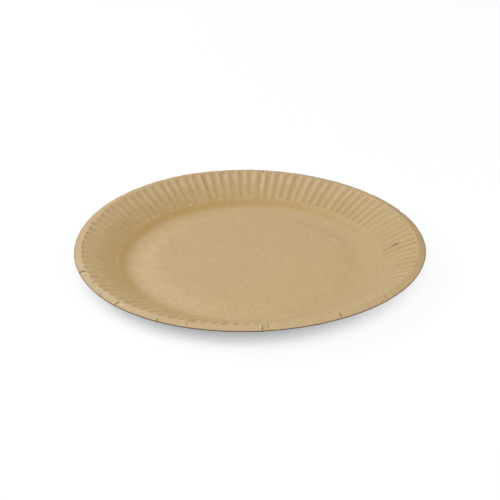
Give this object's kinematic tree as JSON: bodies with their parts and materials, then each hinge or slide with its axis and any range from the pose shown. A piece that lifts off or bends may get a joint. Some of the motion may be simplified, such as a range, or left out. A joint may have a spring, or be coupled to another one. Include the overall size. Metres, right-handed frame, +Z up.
{
  "type": "paper plate",
  "caption": "Round shallow one-piece plate pressed from brown kraft paperboard, with a fluted sloping wall, a turned-down plain lip and a flat base with a slightly raised middle.",
  "frame": {"origin": "on the plate's axis, at the level of the table it stands on", "axes": "+Z up along the plate's axis, out of its open side; X and Y lie in the table's plane, with a flute centred on +X"},
  "size_m": [0.23, 0.23, 0.015],
  "materials": {
    "kraft_paperboard": "matt, unbleached, with visible fibres"
  },
  "bodies": {
    "root": {"plate": "kraft_paperboard"}
  },
  "joints": []
}
